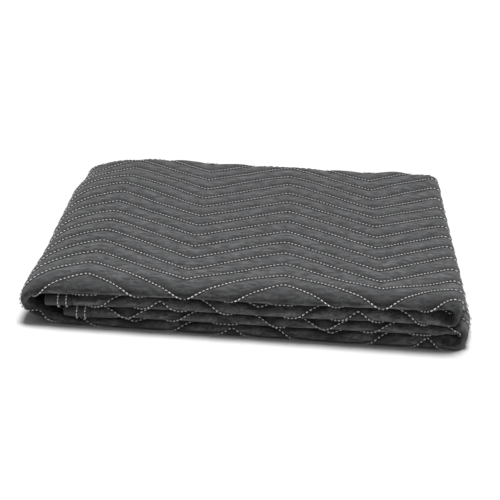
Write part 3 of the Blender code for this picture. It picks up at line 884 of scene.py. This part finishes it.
@dataclass(frozen=True)
class QuiltedArea:
    """A part of the outer face that is cut fine enough to be quilted, from low to high along and across.

    Args:
        run_low: Where it starts along the run.
        run_high: Where it ends.
        across_low: Where it starts across the cloth.
        across_high: Where it ends.
        run_step: How far apart it is cut along the run.
        row_steps: How far from a seam it is cut, on both sides.
    """

    run_low: float
    run_high: float
    across_low: float
    across_high: float
    run_step: float
    row_steps: tuple[float, ...]

    def holds(self, run: float, across: float) -> bool:
        """Whether a place is in the area."""
        return self.run_low < run < self.run_high and self.across_low < across < self.across_high

    def levels(self, quilting: Quilting) -> list[float]:
        """Where the cuts along the rows lie at a peak."""
        mirrored = (quilting.pitch - step for step in self.row_steps[1:])
        steps = {*self.row_steps, *mirrored, quilting.pitch / 2.0}
        first = math.floor((self.across_low - quilting.rise) / quilting.pitch) - 2
        rows = range(first, math.ceil(self.across_high / quilting.pitch) + 2)
        return [quilting.first_row + row * quilting.pitch + step for row in rows for step in sorted(steps)]


Corner = tuple[int, int]


class FlatSlab:
    """The cloth laid flat as a closed slab. Its corners are (run, across) in whole grains of a metre."""

    grain = 1e-5

    def __init__(self, runs: list[float], acrosses: list[float], quilting: Quilting) -> None:
        """Marks the lines along which both faces are cut."""
        self.runs = sorted({self.snap(line) for line in runs})
        self.acrosses = sorted({self.snap(line) for line in acrosses})
        self.quilting = quilting
        self.outer: list[list[Corner]] = []

    def snap(self, distance: float) -> int:
        """A distance in whole grains."""
        return round(distance / self.grain)

    def cells(self) -> list[tuple[int, int, int, int]]:
        """Each cell between neighbouring lines: its lowest and highest run, then across."""
        return [
            (left, right, low, high)
            for left, right in zip(self.runs, self.runs[1:])
            for low, high in zip(self.acrosses, self.acrosses[1:])
        ]

    def cut_outer(self, areas: list[QuiltedArea]) -> None:
        """Cuts the outer face, along the rows of stitching in the quilted areas."""
        levels = {area: area.levels(self.quilting) for area in areas}
        for cell in self.cells():
            left, right, low, high = (line * self.grain for line in cell)
            area = next((a for a in areas if a.holds((left + right) / 2.0, (low + high) / 2.0)), None)
            if area:
                self.cut_cell((left, right, low, high), area, levels[area])
            else:
                left, right, low, high = cell
                self.outer.append([(left, low), (right, low), (right, high), (left, high)])
        self.meet()

    def cut_cell(self, cell: tuple[float, ...], area: QuiltedArea, levels: list[float]) -> None:
        """Cuts a cell of the outer face across its rows, and along them.

        Args:
            cell: Its lowest and highest run, then across.
            area: The area that it is part of.
            levels: Where each cut along the rows lies at a peak.
        """
        left, right, low, high = cell
        runs = np.linspace(left, right, 1 + max(1, round((right - left) / area.run_step)))
        rises = self.quilting.sharp_line(runs)
        for start, end, at_start, at_end in zip(runs, runs[1:], rises, rises[1:]):
            first = max(0, bisect_right(levels, low - max(at_start, at_end)) - 1)
            last = bisect_right(levels, high - min(at_start, at_end)) + 1
            for under, over in zip(levels[first:last], levels[first + 1 : last + 1]):
                ring = [(start, under + at_start), (end, under + at_end)]
                ring += [(end, over + at_end), (start, over + at_start)]
                ring = clip(clip(ring, low, 1.0), high, -1.0)
                self.keep([(self.snap(run), self.snap(across)) for run, across in ring])

    def keep(self, ring: list[Corner]) -> None:
        """Keeps a face, unless nothing is left of it."""
        ring = [corner for corner, last in zip(ring, ring[-1:] + ring[:-1]) if corner != last]
        doubled = sum(a[0] * b[1] - b[0] * a[1] for a, b in zip(ring, ring[1:] + ring[:1]))
        if doubled > 0:
            self.outer.append(ring)

    def meet(self) -> None:
        """Gives each face the corners that its neighbours have on its sides."""
        on_lines: tuple[dict[int, set[int]], ...] = tuple(
            {line: set() for line in lines} for lines in (self.runs, self.acrosses)
        )
        for ring in self.outer:
            for corner in ring:
                for axis, found in enumerate(on_lines):
                    if corner[axis] in found:
                        found[corner[axis]].add(corner[1 - axis])
        ordered = tuple({line: sorted(found) for line, found in axis.items()} for axis in on_lines)
        self.outer = [
            [
                corner
                for here, there in zip(ring, ring[1:] + ring[:1])
                for corner in side(here, there, ordered)
            ]
            for ring in self.outer
        ]

    def build(self) -> tuple[np.ndarray, list[list[int]]]:
        """Closes the slab with its inner face and its four walls.

        Returns:
            The corners, a row each of run, across and out, and the faces as numbers of corners.
        """
        numbers: dict[tuple[int, int, float], int] = {}

        def number(corner: Corner, out: float) -> int:
            return numbers.setdefault((*corner, out), len(numbers))

        faces = [[number(corner, 0.5) for corner in ring] for ring in self.outer]
        for left, right, low, high in self.cells():
            around = ((left, low), (left, high), (right, high), (right, low))
            faces.append([number(corner, -0.5) for corner in around])
        first_run, last_run = self.runs[0], self.runs[-1]
        first_across, last_across = self.acrosses[0], self.acrosses[-1]
        border = [(run, first_across) for run in self.runs]
        border += [(last_run, across) for across in self.acrosses[1:]]
        border += [(run, last_across) for run in self.runs[-2::-1]]
        border += [(first_run, across) for across in self.acrosses[-2:0:-1]]
        for here, there in zip(border, border[1:] + border[:1]):
            faces.append([number(here, -0.5), number(there, -0.5), number(there, 0.5), number(here, 0.5)])
        corners = np.array(list(numbers))
        return corners * (self.grain, self.grain, 1.0), faces


def clip(ring: list[tuple[float, float]], level: float, way: float) -> list[tuple[float, float]]:
    """Cuts a flat ring off at a level across.

    Args:
        ring: The ring's corners.
        level: Where it is cut.
        way: 1 to keep what is above, -1 to keep what is below.

    Returns:
        The corners that are left.
    """
    kept = []
    for here, there in zip(ring, ring[1:] + ring[:1]):
        before, after = way * (here[1] - level), way * (there[1] - level)
        if before >= 0.0:
            kept.append(here)
        if before * after < 0.0:
            first, last = sorted((here, there))
            kept.append((first[0] + (level - first[1]) / (last[1] - first[1]) * (last[0] - first[0]), level))
    return kept


def side(here: Corner, there: Corner, ordered: tuple[dict[int, list[int]], ...]) -> list[Corner]:
    """A face's side, from its first corner to just before its last one.

    Args:
        here: The first corner.
        there: The last corner.
        ordered: For each line along a run, then across, where the faces' corners lie on it.

    Returns:
        The first corner, and those of the neighbours that lie between the two.
    """
    for axis, lines in enumerate(ordered):
        if here[axis] == there[axis] and here[axis] in lines:
            found = lines[here[axis]]
            low, high = sorted((here[1 - axis], there[1 - axis]))
            between = found[bisect_right(found, low) : bisect_left(found, high)]
            if here[1 - axis] > there[1 - axis]:
                between = between[::-1]
            return [here] + [(here[0], place) if axis == 0 else (place, here[1]) for place in between]
    return [here]


class Piece:
    """A finished piece of the pad, which rides on the frame."""

    def __init__(self, name: str, material: bpy.types.Material, slot: str) -> None:
        """Keeps the piece's name and finish."""
        self.name = name
        self.material = material
        self.slot = slot

    def put(self, mesh: bpy.types.Mesh, replaced: tuple[str, ...] = ()) -> bpy.types.Object:
        """Makes the object from its finished mesh, and lets it ride on the frame.

        Args:
            mesh: The mesh, with its place in it.
            replaced: The plain solids that the piece stands for.

        Returns:
            The object.
        """
        mesh.materials.clear()
        mesh.materials.append(self.material)
        mesh.shade_smooth()
        piece = bpy.data.objects.new(self.name, mesh)
        bpy.context.scene.collection.objects.link(piece)
        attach(piece, ROOT)
        if replaced:
            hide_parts(*replaced)
        mesh.calc_loop_triangles()
        LOG.info("%s: %d triangles", self.name, len(mesh.loop_triangles))
        return piece


def lay_flat_map(mesh: bpy.types.Mesh, run: np.ndarray, across: np.ndarray, shade: np.ndarray) -> None:
    """Gives a mesh the flat cloth's map in metres, and its painted shade.

    Args:
        mesh: The folded mesh.
        run: Each vertex's run.
        across: Each vertex's distance across the cloth.
        shade: The painted shade at each vertex: how light the cloth is painted there.
    """
    corners = np.zeros(len(mesh.loops), dtype=np.int32)
    mesh.loops.foreach_get("vertex_index", corners)
    flat = np.column_stack((run, across))[corners]
    mesh.uv_layers.new(name=FLAT_MAP).data.foreach_set("uv", flat.astype(np.float32).ravel())
    mesh.attributes.new(SHADE, "FLOAT", "POINT").data.foreach_set("value", shade.astype(np.float32))


@dataclass
class QuiltedPad:
    """The quilted cloth: one panel, folded in sixteen plies."""

    cloth: FoldedCloth
    hem: float = 0.0009
    straight_step: float = 0.034
    turn_step: float = 0.0048
    from_front: tuple[float, ...] = (0.008, 0.018, 0.028, 0.040, 0.052, 0.066, 0.084, 0.12, 0.17, 0.23)
    from_rear: tuple[float, ...] = (0.028, 0.0296, 0.042, 0.060, 0.080, 0.102, 0.130, 0.18)
    # How far from a seam the cloth is cut
    fine_rows: tuple[float, ...] = (0.0, 0.0012, 0.0028, 0.0052, 0.0086, 0.0132)
    plain_rows: tuple[float, ...] = (0.0, 0.0025, 0.008)
    fine_step: float = 0.0029
    medium_step: float = 0.0040
    coarse_step: float = 0.0080
    # How far the finely cut areas reach past the turns, the front nose and the rear fold
    turn_before: float = 0.042
    turn_past: float = 0.02
    area_before: float = 0.045
    area_past: float = 0.01
    area_reach: float = 0.036
    top_before_nose: float = 0.016
    top_past_rear: float = 0.010
    seam_ramp: tuple[float, float] = (0.031, 0.040)

    def run_lines(self, areas: list[QuiltedArea]) -> list[float]:
        """Where the cloth is cut across the strip: close together in the turns."""
        strip, quilting = self.cloth.strip, self.cloth.quilting
        starts = strip.starts
        ends = [0.0, starts["top"] - self.turn_before, starts["top"], starts["loop"] - self.turn_past]
        ends += [starts["bottom"] + self.turn_past, starts["lower_fold"], starts["third"], strip.length]
        lines = [self.cloth.tape_width, self.cloth.tape_width + self.cloth.tape_ramp]
        lines += [strip.length - line for line in lines]
        for number, (start, end) in enumerate(zip(ends, ends[1:])):
            step = self.turn_step if number % 2 else self.straight_step
            lines += list(np.linspace(start, end, 2 + int((end - start) / step)))[1:]
        columns = int(strip.length / quilting.half_run) + 1
        lines += [quilting.peak + column * quilting.half_run for column in range(-columns, columns)]
        lines += [limit for area in areas for limit in (area.run_low, area.run_high)]
        inside = [line for line in lines if self.hem < line < strip.length - self.hem]
        return [self.hem, *inside, strip.length - self.hem]

    def across_lines(self, areas: list[QuiltedArea]) -> list[float]:
        """Where the cloth is cut along the strip: close together where it turns."""
        lines = self.cloth.plies.lines(self.from_front, self.from_rear)
        lines += [limit for area in areas for limit in (area.across_low, area.across_high)]
        size = self.cloth.plies.across
        inside = [line for line in lines if self.hem < line < size - self.hem]
        return [self.hem, *inside, size - self.hem]

    def areas(self) -> list[QuiltedArea]:
        """The parts of the outer face whose seams are raised."""
        cloth, starts = self.cloth, self.cloth.strip.starts
        edge = cloth.tape_width + cloth.tape_ramp
        top, bottom = starts["top"] - self.area_before, starts["bottom"]
        third, far = starts["third"] + self.area_past, cloth.strip.length - edge
        nose, rear, reach = cloth.plies.nose_middle, cloth.plies.rear_middle, self.area_reach
        above, beyond = nose - self.top_before_nose, rear + self.top_past_rear
        fine, medium = (self.fine_step, self.fine_rows), (self.medium_step, self.fine_rows)
        coarse = (self.coarse_step, self.plain_rows)
        return [
            QuiltedArea(top, bottom, above, beyond, *fine),
            QuiltedArea(bottom, third, nose + reach, rear + reach, *coarse),
            QuiltedArea(bottom, third, nose - reach, nose + reach, *medium),
            QuiltedArea(edge, top, nose - reach, nose + reach, *medium),
            QuiltedArea(third, far, nose - reach, nose + reach, *medium),
            QuiltedArea(edge, far, rear - reach, rear + reach, *coarse),
        ]

    def along_seams(self, run: np.ndarray, across: np.ndarray, outer: np.ndarray) -> np.ndarray:
        """Moves the outer face's places across the cloth until its cuts lie on the rounded seams.

        Args:
            run: Each place's run.
            across: Its distance across the cloth.
            outer: 1 on the outer face, 0 elsewhere.

        Returns:
            The new distances across the cloth.
        """
        quilting = self.cloth.quilting
        moved = across + quilting.line(run) - quilting.sharp_line(run)
        moved = moved + quilting.wander_size * quilting.wander.at(run, moved)
        inside = ease(self.cloth.edge_distance(run, across), *self.seam_ramp)
        return across + (moved - across) * inside * outer * self.cloth.shown(run, across)

    def build(self, piece: Piece) -> bpy.types.Object:
        """Cuts, quilts and folds the cloth.

        Args:
            piece: The piece's name and finish.

        Returns:
            The folded pad.
        """
        cloth = self.cloth
        areas = self.areas()
        slab = FlatSlab(self.run_lines(areas), self.across_lines(areas), cloth.quilting)
        slab.cut_outer(areas)
        corners, faces = slab.build()
        run, across, out = corners.T
        outer = (out > 0.0).astype(float)
        across = self.along_seams(run, across, outer)
        plain = out * 2.0 * cloth.half_ply(run) * cloth.grip(run, across)
        places = cloth.place(run, across, plain + outer * cloth.relief(run, across))
        mesh = bpy.data.meshes.new(piece.name)
        mesh.from_pydata(places.tolist(), [], [face[::-1] for face in faces])
        # The outer face carries the painted shade; the inner face and the walls are left at 1.
        lay_flat_map(mesh, run, across, 1.0 - outer * (1.0 - cloth.shade(run, across)))
        return piece.put(mesh, ("quilted_pad",))


class Edge(Enum):
    """The pad's four bound edges. Each value is whether the edge lies along the run, and at its start."""

    END_SECOND = (False, True)
    END_THIRD = (False, False)
    SIDE_OUTER = (True, True)
    SIDE_INNER = (True, False)


@dataclass
class EdgeBinding:
    """Binding tape, folded over one edge of the cloth and sewn down with two rows."""

    cloth: FoldedCloth
    edge: Edge
    rows: tuple[float, float] = (0.0140, 0.0226)
    wall: float = 0.20
    clearance: float = 0.0003
    edge_gap: float = 0.0006
    row_dent: float = 0.00035
    row_reach: float = 0.0016
    step: float = 0.0060
    bend_reach: float = 0.0022
    bend_steps: int = 9
    inner_middle: float = 0.012
    inner_round: float = 0.0008
    # Where the section is cut, from the edge; beside a row; and where it repeats across the strip
    marks: tuple[float, ...] = (0.0255, 0.0180, 0.0100, 0.0050)
    beside_row: tuple[float, ...] = (-0.0016, 0.0, 0.0016)
    from_front: tuple[float, ...] = (
        0.004, 0.010, 0.018, 0.028, 0.040, 0.055, 0.075, 0.10, 0.15, 0.20, 0.25
    )
    from_rear: tuple[float, ...] = (0.02, 0.05, 0.08, 0.11, 0.15, 0.20)

    def profile(self) -> np.ndarray:
        """The tape's section: how far in from the edge, and out in shares of the ply, once round."""
        mouth = self.cloth.tape_width - self.clearance
        inner = 0.5 - self.wall
        marks = sorted({mouth, *self.marks} | {row + side for row in self.rows for side in self.beside_row})
        turns = np.linspace(0.0, math.pi, self.bend_steps)
        bend = [(self.bend_reach * (1.0 - math.sin(turn)), 0.5 * math.cos(turn)) for turn in turns]
        outside = [(mark, 0.5) for mark in reversed(marks)] + bend + [(mark, -0.5) for mark in marks]
        rounded = self.edge_gap + self.inner_round
        inside = [(mouth, -inner), (self.inner_middle, -inner), (rounded, -inner), (self.edge_gap, 0.0)]
        inside += [(rounded, inner), (self.inner_middle, inner), (mouth, inner)]
        return np.array(outside + inside)

    def stations(self) -> np.ndarray:
        """Where the section is repeated along the edge."""
        along_run, _ = self.edge.value
        strip, plies = self.cloth.strip, self.cloth.plies
        margin = self.cloth.tape_width + self.clearance
        if along_run:
            return np.linspace(margin, strip.length - margin, 2 + int(strip.length / self.step))
        return np.array([0.0, *plies.lines(self.from_front, self.from_rear), plies.across])

    def build(self, piece: Piece, replaced: str) -> bpy.types.Object:
        """Makes the tape and folds it with the pad.

        Args:
            piece: The piece's name and finish.
            replaced: The plain solid that it stands for.

        Returns:
            The folded tape.
        """
        along_run, at_start = self.edge.value
        cloth, profile, stations = self.cloth, self.profile(), self.stations()
        size = cloth.plies.across if along_run else cloth.strip.length
        depth = profile[:, 0] if at_start else size - profile[:, 0]
        along, inward = np.meshgrid(stations, depth, indexing="ij")
        run, across = (along, inward) if along_run else (inward, along)
        run, across = run.ravel(), across.ravel()
        out = np.tile(profile[:, 1], len(stations))
        dents = sum(np.exp(-(((profile[:, 0] - row) / self.row_reach) ** 2)) for row in self.rows)
        dents = np.tile(self.row_dent * dents * (np.abs(profile[:, 1]) == 0.5), len(stations))
        height = out * 2.0 * cloth.half_ply(run) - np.sign(out) * dents
        count = len(profile)
        ring = np.arange(count)
        starts = np.arange(len(stations) - 1)[:, None] * count
        following = (ring + 1) % count
        here, there = (starts + ring, starts + following), (starts + following, starts + ring)
        faces = np.stack((*here, *(corner + count for corner in there)), -1).reshape(-1, 4).tolist()
        last = (len(stations) - 1) * count
        faces += [ring[::-1].tolist(), (last + ring).tolist()]
        mesh = bpy.data.meshes.new(piece.name)
        mesh.from_pydata(cloth.place(run, across, height).tolist(), [], faces)
        face_out(mesh)
        lay_flat_map(mesh, run, across, np.ones(len(run)))
        return piece.put(mesh, (replaced,))


def face_out(mesh: bpy.types.Mesh) -> None:
    """Turns every face of a closed mesh outwards."""
    shape = bmesh.new()
    shape.from_mesh(mesh)
    bmesh.ops.recalc_face_normals(shape, faces=shape.faces[:])
    shape.to_mesh(mesh)
    shape.free()


@dataclass
class SeamRow:
    """Part of one row of stitching: where each stitch's middle lies on the flat cloth, and its direction."""

    run: np.ndarray
    across: np.ndarray
    turn: np.ndarray
    height: np.ndarray

    @classmethod
    def joined(cls, rows: list["SeamRow"]) -> "SeamRow":
        """Several rows as one."""
        names = ("run", "across", "turn", "height")
        return cls(*(np.concatenate([getattr(row, name) for row in rows]) for name in names))


@dataclass
class Stitching:
    """The pad's sewing thread: zigzag quilting rows, and two rows along each bound edge."""

    cloth: FoldedCloth
    pitch: float = 0.0047
    length: float = 0.0033
    width: float = 0.0013
    thickness: float = 0.0014
    sunk: float = -0.50
    unevenness: float = 0.07
    sample: float = 0.0005
    arch: float = 1.1
    binding_pitch: float = 0.85
    turn_share: float = 0.6

    def stitch_shape(self) -> tuple[np.ndarray, list[tuple[int, ...]]]:
        """One stitch of unit size, along the first direction, whose ends dive into the cloth.

        Returns:
            Its corners and its faces.
        """
        bpy.ops.object.select_all(action="DESELECT")
        bpy.ops.mesh.primitive_uv_sphere_add(
            segments=6, ring_count=4, radius=0.5, rotation=(0.0, math.pi / 2.0, 0.0)
        )
        bpy.ops.object.transform_apply(location=True, rotation=True, scale=True)
        stitch = bpy.context.object
        corners = np.array([vertex.co[:] for vertex in stitch.data.vertices])
        faces = [tuple(face.vertices) for face in stitch.data.polygons]
        shape = stitch.data
        bpy.data.objects.remove(stitch)
        bpy.data.meshes.remove(shape)
        corners[:, 2] -= self.arch * corners[:, 0] ** 2
        return corners, faces

    def along(self, run: np.ndarray, across: np.ndarray, pitch: float) -> SeamRow:
        """Spaces stitches evenly along a line on the flat cloth.

        Args:
            run: The line's runs, close together.
            across: The line's distances across.
            pitch: The distance from one stitch to the next.

        Returns:
            The row.
        """
        path = running_total(np.hypot(np.diff(run), np.diff(across)))
        middles = np.arange(pitch / 2.0, path[-1], pitch)
        found_run, found_across = np.interp(middles, path, run), np.interp(middles, path, across)
        slope_run, slope_across = (np.interp(middles, path, np.gradient(line)) for line in (run, across))
        return SeamRow(found_run, found_across, np.arctan2(slope_across, slope_run), np.zeros(len(middles)))

    def quilting_rows(self) -> SeamRow:
        """Every stitch of the zigzag rows that shows."""
        cloth, quilting = self.cloth, self.cloth.quilting
        edge = cloth.tape_width + cloth.tape_ramp + self.length / 2.0
        run = np.arange(edge, cloth.strip.length - edge, self.sample)
        last = math.ceil(cloth.plies.across / quilting.pitch)
        row = SeamRow.joined(
            [self.along(run, quilting.row(run, number), self.pitch) for number in range(-2, last)]
        )
        shown = (cloth.shown(row.run, row.across) > 0.5) & (cloth.edge_distance(row.run, row.across) > edge)
        row = SeamRow(row.run[shown], row.across[shown], row.turn[shown], row.height[shown])
        row.height = cloth.face(row.run, row.across)
        return row

    def binding_rows(self, binding: EdgeBinding) -> SeamRow:
        """Every stitch of the two rows along a bound edge, on the tape's outer wall and its inner one."""
        along_run, at_start = binding.edge.value
        cloth = self.cloth
        size = cloth.plies.across if along_run else cloth.strip.length
        reach = cloth.strip.length if along_run else cloth.plies.across
        margin = cloth.tape_width + self.length if along_run else self.length
        along = np.arange(margin, reach - margin, self.sample)
        rows = []
        for distance in binding.rows:
            level = np.full(len(along), distance if at_start else size - distance)
            ends = (along, level) if along_run else (level, along)
            row = self.along(*ends, self.pitch * self.binding_pitch)
            for facing in (1.0, -1.0):
                height = facing * (cloth.half_ply(row.run) - binding.row_dent)
                rows.append(SeamRow(row.run, row.across, row.turn, height))
        return SeamRow.joined(rows)

    def sew(self, piece: Piece, row: SeamRow, seed: int) -> bpy.types.Object:
        """Makes all the stitches of a row as one mesh.

        Args:
            piece: The piece's name and finish.
            row: Where the stitches lie.
            seed: Picks how each stitch differs from the next.

        Returns:
            The stitches.
        """
        corners, faces = self.stitch_shape()
        count = len(row.run)
        draw = np.random.default_rng(seed)
        length = self.length * (1.0 + self.unevenness * draw.normal(size=(count, 1)))
        width = self.width * (1.0 + self.unevenness * draw.normal(size=(count, 1)))
        turn = row.turn[:, None] + self.turn_share * self.unevenness * draw.normal(size=(count, 1))
        along, side, up = (corners[:, axis][None, :] for axis in range(3))
        forward, sideways = along * length, side * width
        run = row.run[:, None] + forward * np.cos(turn) - sideways * np.sin(turn)
        across = row.across[:, None] + forward * np.sin(turn) + sideways * np.cos(turn)
        facing = np.where(row.height >= 0.0, 1.0, -1.0)[:, None]
        height = row.height[:, None] + facing * self.thickness * (up + 0.5 - self.sunk)
        places = self.cloth.place(run.ravel(), across.ravel(), height.ravel())
        shifts = np.arange(count) * len(corners)
        mesh = bpy.data.meshes.new(piece.name)
        stitches = [tuple(shift + corner for corner in face) for shift in shifts for face in faces]
        mesh.from_pydata(places.tolist(), [], stitches)
        face_out(mesh)
        return piece.put(mesh)


@dataclass
class Studio:
    """The pale floor, the soft light and the camera at the photograph's angle."""

    camera_place: tuple[float, float, float] = (0.02805, -1.851025, 0.6311)
    yaw: float = -0.0185
    pitch: float = 0.3216
    roll: float = -0.0619
    lens: float = 120.5
    sensor: float = 36.0
    floor_size: float = 14.0
    sky: float = 0.18
    overhead: float = 3.45
    overhead_angle: float = 0.45
    overhead_turn: tuple[float, float, float] = (math.radians(-8.0), math.radians(-2.0), 0.0)
    floor_below: float = 0.0002
    sees_to: float = 50.0

    def floor(self, finish: FloorFinish) -> None:
        """Lays the floor that the pad rests on."""
        bpy.ops.object.select_all(action="DESELECT")
        bpy.ops.mesh.primitive_plane_add(size=self.floor_size, location=(0.0, 0.0, -self.floor_below))
        bpy.ops.object.transform_apply(location=True, rotation=True, scale=True)
        floor = bpy.context.object
        floor.name = "studio_floor"
        floor.data.materials.append(finish.make())

    def light(self, name: str, strength: float, spread: float, turn: tuple[float, float, float]) -> None:
        """Adds a soft far light from one direction."""
        lamp = bpy.data.lights.new(name, "SUN")
        lamp.energy = strength
        lamp.angle = spread
        light = bpy.data.objects.new(name, lamp)
        light.rotation_euler = turn
        bpy.context.scene.collection.objects.link(light)

    def camera(self) -> None:
        """Sets the camera up as the photograph was taken."""
        sin_yaw, cos_yaw = math.sin(self.yaw), math.cos(self.yaw)
        sin_pitch, cos_pitch = math.sin(self.pitch), math.cos(self.pitch)
        forward = Vector((cos_pitch * sin_yaw, cos_pitch * cos_yaw, -sin_pitch))
        level = Vector((cos_yaw, -sin_yaw, 0.0))
        upright = Vector((sin_pitch * sin_yaw, sin_pitch * cos_yaw, cos_pitch))
        right = math.cos(self.roll) * level - math.sin(self.roll) * upright
        up = math.sin(self.roll) * level + math.cos(self.roll) * upright
        data = bpy.data.cameras.new("photo_camera")
        data.lens, data.sensor_width = self.lens, self.sensor
        data.clip_end = self.sees_to
        camera = bpy.data.objects.new("photo_camera", data)
        axes = Matrix((right, up, -forward)).transposed().to_4x4()
        camera.matrix_world = Matrix.Translation(self.camera_place) @ axes
        bpy.context.scene.collection.objects.link(camera)
        bpy.context.scene.camera = camera

    def build(self) -> None:
        """Sets the whole studio up."""
        self.camera()
        self.floor(FloorFinish())
        self.light("overhead_softbox", self.overhead, self.overhead_angle, self.overhead_turn)
        world = bpy.data.worlds.new("studio_sky")
        world.use_nodes = True
        world.node_tree.nodes["Background"].inputs["Color"].default_value = (1.0, 1.0, 1.0, 1.0)
        world.node_tree.nodes["Background"].inputs["Strength"].default_value = self.sky
        bpy.context.scene.world = world
        bpy.context.scene.view_settings.view_transform = "Standard"


def main() -> None:
    """Builds the pad, its bindings, its thread and the studio."""
    logging.basicConfig(level=logging.INFO, format="%(message)s")
    cloth = FoldedCloth()
    pad_finish = QuiltedClothFinish().make()
    tape_finish = BindingTapeFinish().make()
    thread_finish = ThreadFinish().make()
    pad = QuiltedPad(cloth).build(Piece("quilted_cloth", pad_finish, "quilted_cloth"))
    bindings = {}
    for edge, node in (
        (Edge.END_SECOND, "binding_end_second"),
        (Edge.END_THIRD, "binding_end_third"),
        (Edge.SIDE_OUTER, "binding_side_outer"),
        (Edge.SIDE_INNER, "binding_side_inner"),
    ):
        bindings[edge] = EdgeBinding(cloth, edge)
        tape = bindings[edge].build(Piece(node.replace("binding", "tape"), tape_finish, "binding_tape"), node)
    stitching = Stitching(cloth)
    rows = stitching.quilting_rows()
    stitching.sew(Piece("quilting_thread", thread_finish, "sewing_thread"), rows, QUILTING_SEED)
    for number, (edge, binding) in enumerate(bindings.items()):
        name = edge.name.lower() + "_thread"
        row = stitching.binding_rows(binding)
        stitching.sew(Piece(name, thread_finish, "sewing_thread"), row, FIRST_BINDING_SEED + number)
    Studio().build()


if __name__ == "__main__":
    main()
